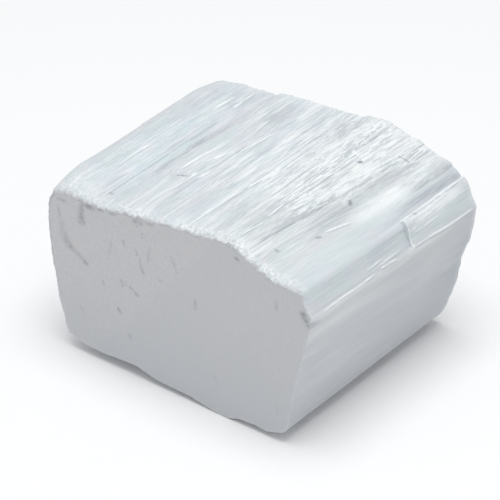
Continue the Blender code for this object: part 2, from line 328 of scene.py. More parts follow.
def station_share(shares, around):
    """The share at a place, from the shares that a table gives at the stations."""
    places = [STATION[name] for name, _ in shares]
    return np.interp(around, places, [share for _, share in shares])


def table_value(table, place):
    """The value at a place, from a table of places in mm and the values there."""
    return np.interp(place, [known * MM for known, _ in table], [value for _, value in table])


def drawn_along(around, along, stretch):
    """Places whose noise comes out drawn out along the fibres."""
    return np.stack([around, along / stretch, np.zeros_like(around)], axis=-1)


def round_border(around):
    """Places whose noise changes only with the distance around."""
    return drawn_along(around, np.zeros_like(around), 1)


def streaky(around, along):
    """How strong the hairlines are, calmer where the fibres lie smooth."""
    calm = between(*CALM_AROUND, around, 3 * MM) * (1 - ease(*CALM_ALONG, along))
    return station_share(STREAK_SHARES, around) * (1 - 0.5 * calm)


def fibre_relief(around, along):
    """Bundles and strands as in the solid, and the threads and hairs too fine for it."""
    coarse = BUNDLE_HEIGHT * bundles(around, along, BUNDLE_WIDTH, BUNDLE_LENGTH, 11)
    strands = STRAND_HEIGHT * bundles(around, along, STRAND_WIDTH, STRAND_LENGTH, 12)
    threads = THREAD_HEIGHT * bundles(around, along, THREAD_WIDTH, THREAD_LENGTH, 13)
    hairs = HAIR_HEIGHT * bundles(around, along, HAIR_WIDTH, HAIR_LENGTH, 14)
    return station_share(FIBRE_SHARES, around) * (coarse + strands + threads + hairs)


def shoulder_relief(around, along):
    """The swell of the top's left shoulder, which falls away at both sawn ends."""
    swell = MM * table_value(SHOULDER, along)
    return swell * hump(STATION["left_top"] + 1 * MM, SHOULDER_REACH, around)


def ledge_relief(around, along):
    """The top layer's broken edge: a lump along the crest and a valley beside it."""
    length = ease(*LEDGE_RISE, along) * (1 - (1 - LEDGE_LEFT) * ease(LEDGE_FADE, BACK, along))
    lump = LEDGE_LUMP * hump(CREST_LINE, 2 * MM, around)
    across = ease(LEDGE_TOP, LEDGE_FOOT, around) * (1 - ease(STATION["valley"], VALLEY_END, around))
    return length * (lump - LEDGE_DROP * across)


def flake_upper(along):
    """Where the flake's upper edge runs, as a distance around."""
    return FLAKE_UPPER - FLAKE_SLANT * (along - FLAKE_FRONT)


def band_relief(around, along):
    """The smooth band between the valley and the flake, sunk a little below both."""
    upper = flake_upper(along)
    step = ease(upper - STEP_SOFTNESS, upper + STEP_SOFTNESS, around)
    return -BAND_DROP * ease(BAND_TOP, BAND_FOOT, around) * (1 - step) * ease(*BAND_RISE, along)


def flake_edge(around):
    """y of the flake's broken end."""
    return FLAKE_FRONT + FLAKE_RAGGEDNESS * bundles(around, FRONT, 0.9 * MM, UNBROKEN, 31)


def flake_share(around, along):
    """How much of the flake's thickness stands at a place: it steps up at its top and thins out below."""
    upper = flake_upper(along)
    return np.interp((around - upper) / (FLAKE_LOWER - upper), *zip(*FLAKE_PROFILE))


def flake_relief(around, along):
    """The raised flake above the ridge, with a broken end across it and a hollow in front of that."""
    hollow = FLAKE_HOLLOW * ease(FLAKE_FRONT - FLAKE_HOLLOW_LENGTH, FLAKE_FRONT, along)
    raised = FLAKE_THICKNESS * (1 - (1 - FLAKE_LEFT) * ease(FLAKE_FRONT, BACK, along))
    return flake_share(around, along) * np.where(along < flake_edge(around), -hollow, raised)


def groove_relief(around, along):
    """The dark groove along the top's left part, fading out towards the front."""
    return -GROOVE_DEPTH * hump(GROOVE_LINE, GROOVE_REACH, around) * ease(*GROOVE_RISE, along)


def plate_relief(around, along):
    """The splinter plate beside the groove: it starts at a broken end and sinks back into the top."""
    start = ease(PLATE_LEFT, PLATE_LEFT + PLATE_EDGE, around)
    across = start * (1 - ease(PLATE_RIGHT - PLATE_EDGE, PLATE_RIGHT, around))
    length = ease(PLATE_FRONT, PLATE_FRONT + PLATE_EDGE, along) * (1 - ease(*PLATE_FADE, along))
    return PLATE_HEIGHT * across * length


def top_share(around):
    """1 on the top and the upper right, 0 on the sides and the base."""
    start = ease(STATION["left_high"], STATION["top_left"], around)
    return start * (1 - ease(STATION["facet_low"], STATION["ridge"], around))


def not_base(around):
    """1 on the top and the sides, 0 on the base."""
    share = 1 - ease(STATION["right_low"], STATION["base_right"], around)
    return share * ease(STATION["base_left"], STATION["left_foot"], around)


def rim_teeth(around):
    """Unevenness of the broken edges, -1 to 1."""
    rng = np.random.default_rng(21)
    return np.interp(around, np.linspace(0, PERIMETER, RIM_TEETH), rng.uniform(-1, 1, RIM_TEETH))


def rim_relief(around, along):
    """The crushed rim at the front of the top, and the broken edge right round the back end."""
    teeth = rim_teeth(around)
    depth = RIM_DEPTH * (1 + RIM_UNEVENNESS * teeth)
    rise = RIM_RISE * ease(0, 1, (along - FRONT) / depth) * (BACK - along) / DEPTH
    chip = BACK_CHIP * (0.6 + 0.4 * teeth) * ease(BACK - BACK_CHIP_DEPTH, BACK, along)
    return top_share(around) * rise - not_base(around) * chip


def tooth_relief(around, along):
    """Ragged crumbs along the sawn face's upper border, too fine for the solid."""
    bites = bundles(around, along, TOOTH_WIDTH, UNBROKEN, 41)
    bites = bites + 0.6 * bundles(around, along, 0.4 * TOOTH_WIDTH, UNBROKEN, 42)
    near = 1 - ease(FRONT, FRONT + TOOTH_REACH, along)
    return -TOOTH_HEIGHT * top_share(around) * near * (0.4 + 0.5 * bites)


def notch_relief(around, along):
    """A small bite out of the right corner of the sawn face, just under the ridge."""
    near = 1 - ease(FRONT, FRONT + NOTCH_LENGTH, along)
    return -NOTCH_DEPTH * hump(NOTCH_PLACE, NOTCH_REACH, around) * near


def foot_lift(across, along):
    """How far the underside is broken up at its front edge."""
    lift = MM * table_value(FOOT_CHIPS, across)
    reach = FOOT_CHIP_SLOPE * lift + 1e-6
    return lift * (1 - np.clip((along - FRONT) / reach, 0, 1))


def crushed(around, along):
    """How crushed and powdery the crystal is at a place, 0 to 1."""
    ragged = 0.35 * rim_teeth(around) + 0.35 * bundles(around, along, 0.5 * MM, 90 * MM, 43)
    depth = RIM_DEPTH * (1.1 + ragged)
    uneven = np.clip(0.85 + 0.8 * grain(round_border(around), 2.2 * MM, 48), 0.3, 1.1)
    rim = table_value(RIM_SHARES, around) * uneven * top_share(around)
    rim = rim * (1 - ease(0.3, 1.6, (along - FRONT) / depth))
    corner = 0.4 * hump(RIM_CORNER + 0.5 * MM, 5 * MM, around) * (1 - ease(-19 * MM, -13 * MM, along))
    lump = 0.7 * hump(LUMP_PLACE, 1.6 * MM, around) * hump(1 * MM, 3.5 * MM, along)
    back = 0.3 * not_base(around) * ease(BACK - 1.4 * MM, BACK - 0.4 * MM, along)
    return np.clip(np.maximum.reduce([rim, corner, lump, back]), 0, 1)


def sawn_border(around, along):
    """1 on the sawn faces, fading unevenly over the first half millimetre of the sides."""
    flat = round_border(around)
    reach = 0.42 * MM * (1 + 0.8 * grain(flat, 0.7 * MM, 44) + 0.4 * grain(flat, 0.25 * MM, 45))
    reach = reach * (0.25 + 0.75 * top_share(around)) * (1 + 0.6 * hump(RIM_CORNER, 4 * MM, around))
    return 1 - ease(0.15, 1, (along - FRONT) / np.maximum(reach, 0.02 * MM))


def rim_shade_and_dirt(around, along):
    """Dark line along the border of the front sawn face, painted shade under the rim with some dirt: most
    on its left part, none on the right.
    """
    flat = round_border(around)
    spots = np.clip(0.7 + 0.4 * grain(flat, 0.9 * MM, 46) + 0.4 * grain(flat, 0.35 * MM, 47), 0, 1.2)
    return table_value(RIM_SHADE_AND_DIRT_SHARES, around) * spots * hump(FRONT + 0.08 * MM, 0.42 * MM, along)


def splintered(around, along):
    """How much the surface is broken into bright chips and splinters, 0 to 1."""
    right = ease(*CRUMBLY_RISE, around) * (1 - ease(STATION["crest"] + 1 * MM, STATION["ledge"], around))
    right = right * (0.3 + 0.7 * ease(-14 * MM, -4 * MM, along))
    valley = 0.35 * hump(CRUMBS_PLACE, 2 * MM, around) * ease(-2 * MM, 4 * MM, along)
    left = ease(STATION["left_high"], STATION["top_left"], around)
    left = 0.2 * left * (1 - ease(50 * MM, 60 * MM, around))
    upper = flake_upper(along)
    flake = 0.4 * between(upper, upper + 2.0 * MM, around) * (along > FLAKE_FRONT)
    return np.maximum.reduce([right, valley, left, flake])


def layered_relief(around, along):
    """The relief whose steps show as fine light and dark edges."""
    layers = fibre_relief(around, along) + flake_relief(around, along)
    return layers + groove_relief(around, along) + plate_relief(around, along)


def surface(around, along):
    """The finished surface: x, y and z at each place."""
    across, height = eased_outline(around, along)
    aside, upward = outward(around, along)
    broad = (shoulder_relief, ledge_relief, band_relief, rim_relief, tooth_relief, notch_relief)
    relief = sum((part(around, along) for part in broad), layered_relief(around, along))
    plain = np.stack([across, along, height], axis=-1)
    crumbs = grain(plain, GRAIN_SIZE, 51) + 0.5 * grain(plain, GRAIN_SIZE / 2, 52)
    relief = relief + GRAIN_HEIGHT * crumbs * crushed(around, along)
    chips = grain(plain * (1, CHIP_STRETCH, 1), CHIP_SIZE, 53)
    relief = relief + CHIP_HEIGHT * chips * splintered(around, along)
    across = across + relief * aside
    height = height + relief * upward
    underneath = (around > STATION["right_foot"]) | (around < STATION["left_foot"])
    height = height + np.where(underneath, foot_lift(across, along), 0)
    return np.stack([across, along, np.maximum(height, 0)], axis=-1)


def divided(stops, spacings):
    """Values from the first stop to the last, each run divided evenly at about its own spacing."""
    values = [stops[0]]
    for start, end, spacing in zip(stops, stops[1:], spacings):
        steps = max(1, round((end - start) / spacing))
        values.extend(start + (end - start) * step / steps for step in range(1, steps + 1))
    return np.array(values)


def places_around():
    """Sampling round the outline: close on the top, wider on the sides, widest on the base."""
    stops = list(STATION.values()) + [PERIMETER]
    spacings = []
    for name, _, _ in OUTLINE:
        if name in ("base_right", "base_middle"):
            spacings.append(BASE_SPACING)
        elif name.startswith(("left", "right", "base")):
            spacings.append(SIDE_SPACING)
        else:
            spacings.append(TOP_SPACING)
    return divided(stops, spacings)[:-1]


def places_along():
    """Sampling along the fibres, close at the rim and across the flake's broken end."""
    stops = [FRONT, FRONT + 1.7 * MM, FLAKE_FRONT - 0.2 * MM, FLAKE_FRONT + 0.4 * MM, BACK - 1.2 * MM, BACK]
    return divided(stops, [RIM_SPACING, ALONG_SPACING, 0.1 * MM, ALONG_SPACING, 0.3 * MM])


def smoothed(edge):
    """The edge of a sawn end with its ragged crumbs evened out, as x and z."""
    flat = edge[:, (0, 2)]
    steps = np.linalg.norm(np.roll(flat, -1, axis=0) - flat, axis=1)
    reached = np.cumsum(steps) - steps
    apart = np.abs(reached[:, None] - reached[None, :])
    apart = np.minimum(apart, steps.sum() - apart)
    weights = np.exp(-((apart / CAP_SMOOTHING) ** 2)) * steps[None, :]
    return (weights @ flat) / weights.sum(axis=1, keepdims=True)


def cap_rings(edge, inward_y):
    """Rings of points that fill a sawn end: just inside its ragged edge, then ever smaller."""
    flat = smoothed(edge)
    run = np.roll(flat, -1, axis=0) - np.roll(flat, 1, axis=0)
    run = run / np.linalg.norm(run, axis=1, keepdims=True)
    inner = flat + CAP_BORDER * np.stack([run[:, 1], -run[:, 0]], axis=1)
    middle = (inner.max(axis=0) + inner.min(axis=0)) / 2
    rings = []
    for share in CAP_SHARES:
        ring = middle + (inner - middle) * share
        points = np.stack([ring[:, 0], np.full(len(ring), edge[0, 1]), ring[:, 1]], axis=1)
        points[:, 1] += inward_y * CAP_WAVES * (1 + grain(points, 4 * MM, 61)) / 2
        rings.append(points)
    return rings


# ---------- the block's mesh


def ring_faces(rings, count):
    """Faces that join rings of `count` points into a tube, and one at each end."""
    place = np.arange(count)
    ahead = (place + 1) % count
    faces = []
    for ring in range(rings - 1):
        near = ring * count
        far = near + count
        faces.extend(np.stack([near + place, far + place, far + ahead, near + ahead], axis=1).tolist())
    faces.append(list(range(count)))
    last = (rings - 1) * count
    faces.append([last + corner for corner in reversed(range(count))])
    return faces


def material_values(around, along):
    """The values that drive the material, by name, at each place of the sides."""
    looks = {"tone": tone, "tint": tint, "glint": glint, "edge": edge_highlight_and_shade, "crushed": crushed}
    looks.update({"splintered": splintered, "streaky": streaky, "sawn": sawn_border, "rim_shade_and_dirt": rim_shade_and_dirt})
    values = {name: look(around, along) for name, look in looks.items()}
    return {**values, "side": side_share(around), "pearl": pearl(around)}


def block_mesh():
    """All the points and faces, with the values that drive the material stored on the points."""
    around, along = np.meshgrid(places_around(), places_along())
    sides = surface(around, along)
    front_cap = cap_rings(sides[0], 1)
    back_cap = cap_rings(sides[-1], -1)
    rings = list(reversed(front_cap)) + list(sides) + back_cap
    points = np.concatenate(rings)
    cad_middle = (CAD_BOX[0][0] + CAD_BOX[1][0]) / 2
    points[:, 0] += cad_middle - (points[:, 0].max() + points[:, 0].min()) / 2

    mesh = bpy.data.meshes.new("fine_selenite")
    mesh.from_pydata(points.tolist(), [], ring_faces(len(rings), around.shape[1]))
    mesh.update()
    for name, value in material_values(around, along).items():
        cap_value = np.full((len(CAP_SHARES), around.shape[1]), float(name == "sawn"))
        values = np.concatenate([cap_value, value, cap_value]).ravel()
        layer = mesh.attributes.new(name, "FLOAT", "POINT")
        layer.data.foreach_set("value", values.astype(np.float32))
    mesh.polygons.foreach_set("use_smooth", np.ones(len(mesh.polygons), dtype=bool))
    mesh.set_sharp_from_angle(angle=math.radians(SHARP_ANGLE))
    return mesh


def fibre_lines(around, along, width, length, seed):
    """Separate thin lines, 0 to 1, that taper at both ends and both sides; three places in ten have one."""
    rng = np.random.default_rng(seed)
    edges = np.append(0, np.cumsum(rng.uniform(0.6, 1.4, int(1.6 * PERIMETER / width)))) * width
    strength = rng.uniform(0, 1, (len(edges) + 1, 40))
    which = np.searchsorted(edges, around % PERIMETER).clip(1, len(edges) - 1)
    sideways = (around - edges[which - 1]) / (edges[which] - edges[which - 1])
    stretch, part = stretches(rng, which, along, length, len(strength), 39)
    tapered = ease(0, 0.25, part) * (1 - ease(0.75, 1, part))
    return ease(0.7, 1.0, strength[which, stretch]) * tapered * (1 - (2 * sideways - 1) ** 2)


# Broad lighter (+) and darker (-) patches, partly the stone's own tone and partly painted light and shade:
# middle and reach around, from and to in y, in mm, and strength.
SHADES = (
    (40.2, 0.6, -12, 8, -1.3),  # painted shade in the groove
    (40.9, 0.8, 3, 30, -1.3),
    (40.7, 1.2, -26, 24, -0.4),
    (43.7, 1.1, -22, -8, 0.9),  # beside it
    (44.5, 1.4, -7.5, 5, 0.9),  # the splinter plate
    (33.8, 2.8, 2, 20, -0.8),  # darker patches of the top, from left to right
    (37.3, 2.5, 11, 20, -1.1),
    (44.8, 1.5, 11.5, 19, -1),
    (32, 3.5, -15, 10, -0.4),
    (42.5, 2.5, 8, 22, -0.6),
    (47, 3.5, 9.5, 19.5, -1.1),
    (50.5, 3, -9, 6, -0.5),
    (52.6, 1.6, -24, -8, -0.7),
    (58.5, 3.5, 10.5, 19.5, -0.9),
    (60.5, 1.8, -20, -8, -0.6),
    (63.3, 1.6, -22, 24, -0.7),
    (64.3, 1.6, -21, -3, -0.8),
    (67.6, 1.5, -21, -1, -1.4),
    (69.2, 1.3, -24, 26, -0.5),  # painted shade on the slope down from the ledge
    (69.2, 1.3, 13, 32, -3),
    (63, 1.4, -4, 22, -0.6),
    (71, 2, -13, 4.5, -1.8),  # painted shade in the hollow in front of the valley
    (55.4, 1.2, -19, 10, 1),  # bright areas
    (58.5, 1.2, -4, 6, 1.6),
    (61.3, 1.4, -10, 8, 1.8),
    (67.4, 1.2, 4, 12, 1),
    (66.9, 1.6, -1, 13, 1.2),
    (72.6, 2.2, -4, 13, 2.9),  # the valley
    (70.8, 1.2, 12, 24, 0.6),
    (73.7, 1.6, 8, 26, -2.6),  # painted shade on the band above the flake
    (75.8, 1.6, 2, 30, -2.2),
    (76.5, 1, 0, 8, -1.2),
    (78.4, 1.5, 3.5, 21, 1.7),  # the flake's upper half
    (79.8, 1, 4, 15, 0.8),
    (80.9, 0.9, 4.5, 26, -0.4),  # and its lower half
    (79.3, 2, -7, 5, -1),  # the facet in front of it
    (82.7, 1.5, -28, 20, 1.4),  # beside the ridge
    (86, 5, -34, 9, 0.7),
    (92, 11, 15, 30, -1.4),  # the right side, darker towards the back
    (97, 12, -8, 30, -0.5),
    (94, 12, 9, 32, -1.1),
    (83.9, 0.8, -23, -17.9, -2.4),  # a crack at the right corner
)


def soft_patches(table, around, along):
    """The sum of a table's soft patches at each place."""
    total = 0
    for place, reach, start, end, strength in table:
        soft = 0.3 * (end - start) * MM
        length = between(start * MM + soft, end * MM - soft, along, soft)
        total = total + strength * hump(place * MM, reach * MM, around) * length
    return total


def flake_gap(around, along):
    """1 in the shaded gap in front of the flake's broken end."""
    edge = flake_edge(around)
    near = ease(edge - 1.6 * MM, edge - 0.2 * MM, along) * (along < edge + 0.1 * MM)
    across = ease(FLAKE_UPPER - 0.3 * MM, FLAKE_UPPER + 2 * MM, around)
    return near * across * (1 - ease(FLAKE_CORNER - 0.5 * MM, FLAKE_CORNER + 0.2 * MM, around))


def tone(around, along):
    """Lightness of the fibres, 0 where they are plain: broad patches of the stone's own tone and of painted
    light and shade, soft bands under fine lines, and painted shade in the flake's gap and beside each
    painted highlight line.
    """
    flat = drawn_along(around, along, 8)
    bands = 0.3 * grain(flat, 1.6 * MM, 70) + 0.25 * grain(flat, 0.7 * MM, 71)
    light = fibre_lines(around, along, 0.4 * MM, 13 * MM, 72)
    light = light + 0.8 * fibre_lines(around, along, 0.34 * MM, 5 * MM, 73)
    dark = fibre_lines(around, along, 0.42 * MM, 10 * MM, 74)
    dark = dark + 0.8 * fibre_lines(around, along, 0.34 * MM, 6 * MM, 75)
    on_flake = flake_share(around, along) * (along > flake_edge(around))
    lines = (bands + 2.2 * light - dark) * streaky(around, along) - 0.7 * on_flake * dark
    shades = soft_patches(SHADES, around, along) * (1 + 0.5 * grain(flat, 2 * MM, 78))
    # the highlight lines shifted a little to the right, for the painted shadow beside them
    beside = split_fibre_highlights(around - 0.34 * MM, along)
    total = lines + 1.2 * bands * side_share(around) + shades
    # painted shade in the gap in front of the flake's broken end and beside each highlight line
    return total - 0.5 * flake_gap(around, along) - 1.5 * beside


def side_share(around):
    """1 on the right and left sides and the base, 0 on the top and the facet."""
    over = ease(STATION["left_high"], STATION["top_left"], around)
    return 1 - over * (1 - ease(STATION["facet_end"], STATION["ridge"] + 0.6 * MM, around))


# Where it leans to mint (+) or lavender (-), given in the same way.
TINTS = (
    (37.3, 3.5, -14, 18, 1.1),
    (49.5, 3, 0, 18, 0.7),
    (43.7, 1.6, -3, 10, 0.9),
    (46, 2, -19, -8, 0.5),
    (73.5, 2, -24, -10, 1),
    (40.8, 1.6, -10, 24, -0.8),
    (47, 3, 12, 20, -0.7),
    (30.5, 2.5, -12, 12, -0.8),
    (67, 2, -20, -6, -1),
    (56, 2.5, -8, 3, -0.5),
)


def tint(around, along):
    """Its lean to lavender, below 0, or to mint, above 0: soft clouds drawn out along the fibres."""
    flat = drawn_along(around, along, 3)
    clouds = 0.7 * grain(flat, 3.5 * MM, 76) + 0.5 * grain(flat, 1.2 * MM, 77)
    return 0.15 + clouds + soft_patches(TINTS, around, along)


def pearl(around):
    """1 on the top's right part, where the crystal is whiter and less blue, and less on the facet."""
    return ease(*PEARLY_RISE, around) * (1 - 0.6 * ease(STATION["valley"], PEARLY_END, around))


def edge_highlight_and_shade(around, along):
    """Steepness of the layers across the fibres, for painted highlights and shade on their edges: above 0
    where they face left, below 0 facing right.
    """
    rise = np.gradient(layered_relief(around, along), axis=1) / np.gradient(around, axis=1)
    flake = hump(0, 0.5 * MM, around - flake_upper(along)) * (along > FLAKE_FRONT)
    return np.clip(rise, -1, 1) * np.maximum(streaky(around, along), flake)


# Painted highlights along split fibres: around and y of one end, around and y of the other end, and width,
# all in mm.
GLINTS = (
    (55.2, -20.4, 56.1, -6.5, 0.26),
    (64.9, -20.4, 65.4, -13, 0.26),
    (64.7, -12.5, 64.3, -7.5, 0.2),
    (43.6, -7.7, 44.9, 4.5, 0.17),
    (46.3, 8, 46, 12.2, 0.2),
    (48, 2, 49.2, 9.5, 0.18),
    (37.6, 13, 37.7, 19.3, 0.24),
    (35.8, 10.5, 35.7, 16.4, 0.18),
    (55.8, -7.8, 56.9, -0.5, 0.18),
    (57.3, -2.6, 57.7, 5.6, 0.2),
    (45.6, -4.8, 47.6, 3, 0.16),
    (45.7, -14.5, 46.8, -5.8, 0.15),
    (47.6, -8, 47.9, -3.7, 0.17),
    (66.6, -8, 66.4, -5.4, 0.2),
    (59.8, 4, 61.1, 10.6, 0.17),
    (34.5, -12, 34.7, -3, 0.14),
    (72.2, -7.3, 72.7, -1.8, 0.15),
    (77.35, 3.7, 76.8, 20.6, 0.17),
    (78, 4.4, 77.6, 16, 0.11),
    (78.6, 6, 78.4, 13, 0.11),
    (79.9, 5, 79.9, 12, 0.11),
    (82.15, -18.6, 81.8, -4.4, 0.15),
    (81.7, -4, 81.8, 0.2, 0.17),
    (81.2, -4.1, 81, 1.8, 0.11),
    (80.6, -6.8, 80.5, -2.3, 0.1),
    (81.75, 3.6, 82.15, 20.6, 0.22),
)
GLINT_WANDER = 0.07 * MM  # how far a split fibre strays from its straight line
GLINT_WAVES = 1.7 * MM  # over what length it strays, and is bright or broken


def split_fibre_highlights(around, along):
    """Painted highlight lines where single fibres have split from the block, 0 to 1."""
    broken = np.clip(0.9 + 0.45 * bundles(around, along, 5 * MM, GLINT_WAVES, 79), 0, 1)
    total = np.zeros(np.shape(around))
    for near, start, far, end, width in GLINTS:
        reach = (end - start) * MM * 0.3
        taper = between(start * MM + reach, end * MM - reach, along, reach)
        place = np.interp(along, (start * MM, end * MM), (near * MM, far * MM))
        wander = GLINT_WANDER * np.sin(along / GLINT_WAVES + near)
        half = width * MM * (0.6 + 0.4 * taper)
        line = 1 - ease(0.4, 1, np.abs(around - place - wander) / half)
        total = np.maximum(total, line * ease(0, 0.3, taper) * broken)
    return total


def glint(around, along):
    """Painted highlights on the split fibres and on the flake's broken end and corner, 0 to 1."""
    beyond = along - flake_edge(around)
    end = (beyond >= 0.1 * MM) * (1 - ease(0.15 * MM, 0.35 * MM, beyond))
    end = end * between(FLAKE_UPPER, FLAKE_CORNER - 0.1 * MM, around, 0.15 * MM)
    corner = hump(FLAKE_CORNER, 0.45 * MM, around) * hump(FLAKE_FRONT + 0.3 * MM, 0.7 * MM, along)
    return np.clip(np.maximum.reduce([split_fibre_highlights(around, along), 0.9 * end, corner]), 0, 1)


# ---------- materials

LAVENDER = (0.65, 0.678, 0.72)
MINT = (0.625, 0.712, 0.75)
PEARL = (0.675, 0.712, 0.712)
GREENISH = (0.63, 0.708, 0.7)
ROSY = (0.69, 0.69, 0.725)
# the sides' own greyer colour, darkened further as painted shade on faces turned from the light
SIDE_GREY_AND_SHADE = (0.58, 0.592, 0.618)
WHITE = (0.91, 0.94, 0.945)
# a dark blue grey: painted shade on edges facing right, in gaps between chips and towards the foot, and
# also the stone's own darker threads, specks and pores
DARK_TONE_AND_SHADE = (0.45, 0.485, 0.525)
POWDER_DARK = (0.62, 0.67, 0.69)
POWDER_LIGHT = (0.93, 0.955, 0.96)
SAWN_GREY = (0.611, 0.606, 0.622)
SAWN_GREEN = (0.596, 0.604, 0.614)
# dark colour of the marks, specks and dirt, also used for painted shade under the rim and in the corner
# notch
DIRT_AND_SHADE = (0.2, 0.22, 0.25)
# the colour of the painted highlights on split fibres and the flake's broken end
HIGHLIGHT_WHITE = (0.95, 0.98, 0.99)
FLOOR_PALE = (0.97, 0.97, 0.97)
FLOOR_PALER = (0.98, 0.98, 0.98)

# How fine each noise is, in patches to the metre.
FLOOR_CLOUDS = 3
CLOUDS = 160
PATCHES = 260
HUE_BANDS = 420
SMUDGES = 1300
SPECKS = 1500
HAIRS = 1600
MARK_WAVES = 1800
CRUMBS = 2100
POWDER = 2200
STREAKS = 3200
THREADS = 4200
PORES = 4200

# How wide a noise's patches are for their length along the fibres.
STREAK_STRETCH = 0.03
PATCH_STRETCH = 0.22
HUE_STRETCH = 0.35
CRUMB_STRETCH = 0.45

FULL_TONE = 2.6  # the tone at which the fibres are at their lightest, or their darkest if below 0
SPECKS_ABOVE = 15 * MM  # the height above which specks show, so that the underside has none
FOOT_SHADE_TOP = 24 * MM  # below this height painted shade darkens the block gently towards its foot
BORDER_ACROSS = (0.776, 0, -0.63)  # square to a sloping border on the sawn faces, greener beyond it
BORDER_RISE = (-12.6 * MM, -11.2 * MM)  # how far out in that direction the border begins and ends
MARK_WANDER = 0.3 * MM  # how far a mark strays from its straight line
BUMP_DEPTH = 0.06 * MM
LIGHT_DEPTH = 0.8 * MM  # how deep light goes in
GYPSUM_IOR = 1.52

# Marks on the sawn face: from x and z to x and z, width, all in mm, and how dark.
MARKS = (
    (-17.9, 26.9, -18.5, 23.9, 0.42, 0.36),  # a wedge-shaped smudge
    (-17.9, 26.8, -17.7, 23.9, 0.42, 0.36),
    (-18, 25.4, -18.1, 24.1, 0.6, 0.42),
    (-22.1, 22.2, -21.8, 20, 0.6, 0.16),  # a long curved scratch
    (-21.8, 20.6, -21.2, 19.2, 0.75, 0.26),
    (-21.2, 19.3, -20, 18.4, 0.5, 0.42),
    (-20.2, 18.6, -17.4, 16.8, 0.36, 0.38),
    (-17.6, 27.2, -15.8, 27.2, 0.4, 0.5),  # painted shade under the rim, with some dirt
    (-14.6, 27.4, -13.7, 27.5, 0.25, 0.35),
    (-12.5, 27.6, -11.3, 27.7, 0.25, 0.3),
    (-7.8, 28, -6.3, 28.1, 0.35, 0.4),
    (-5.1, 28.5, -4.1, 28.6, 0.25, 0.35),
    (-22.8, 26.4, -21.2, 26.4, 0.25, 0.35),
    (11.5, 28.8, 11.9, 28.7, 0.25, 0.6),
    (-22.7, 25, -22.4, 23.4, 0.25, 0.25),  # small scratches
    (-7, 28.4, -7.1, 27.3, 0.2, 0.25),
    (-6.1, 26.4, -6.1, 25.7, 0.2, 0.25),
    (-9.9, 23.8, -9.7, 23, 0.2, 0.3),
    (-7.5, 23, -7.2, 22.4, 0.2, 0.25),
    (-6.7, 21.7, -6.5, 20.4, 0.2, 0.25),
    (-6.5, 20.4, -6.1, 19.5, 0.25, 0.4),
    (-4.8, 24.3, -5.1, 22, 0.25, 0.2),
    (-12.3, 22.6, -13, 19.3, 0.25, 0.15),
    (-0.6, 24.4, 0.5, 22.2, 0.2, 0.25),
    (-10.6, 16.5, -10.2, 15.6, 0.2, 0.4),
    (-10.1, 16.5, -9.6, 16, 0.15, 0.35),
    (-8.8, 16, -7.2, 15, 0.2, 0.4),
    (-11.3, 11.2, -10.9, 10.6, 0.25, 0.5),
    (-9.1, 7.2, -9, 6.7, 0.25, 0.35),
    (3.8, 18.5, 3.8, 17.2, 0.25, 0.25),
    (18.8, 24.2, 18.9, 23, 0.2, 0.25),
    (-18.9, 8.3, -18.3, 7.6, 0.25, 0.2),
    (7.3, 6.4, 7.6, 6.2, 0.25, 0.3),
    (-3, 19.4, -2.5, 19.5, 0.2, 0.25),
    (-14.2, 14.9, -14, 14.4, 0.25, 0.25),
    (19.1, 6, 19.2, 4.8, 0.2, 0.2),
    (23.6, 24, 24.6, 22.7, 0.5, 0.55),  # painted shade in the notch at the right corner
)

BACK_MARKS_LIFT = 31.0 * MM  # how far up the same marks lie on the back sawn face, once turned over

# Specks and small cracks on the top: from x and y to x and y, width, all in mm, and how dark.
TOP_MARKS = (
    (11.95, 8.9, 12.05, 9.2, 0.22, 1),
    (15.8, 1.1, 15.8, 1.5, 0.24, 0.95),
    (15.3, 14.6, 16, 15, 0.14, 0.4),
    (16, 15, 16.5, 15.2, 0.18, 0.5),
    (15.5, 9.9, 15.7, 11, 0.13, 0.4),
    (15.2, -16.1, 15.4, -15.8, 0.2, 0.45),
    (17.4, -9, 17.6, -8.5, 0.2, 0.55),
    (-15, -17.2, -14.7, -17, 0.2, 0.35),
    (-9.4, -8.2, -7.8, -8, 0.17, 0.55),
    (9.9, 12.5, 10, 12.9, 0.14, 0.4),
    (7.1, 5, 7.3, 5.4, 0.14, 0.3),
    (23.5, 6.7, 23.7, 7, 0.16, 0.4),
)


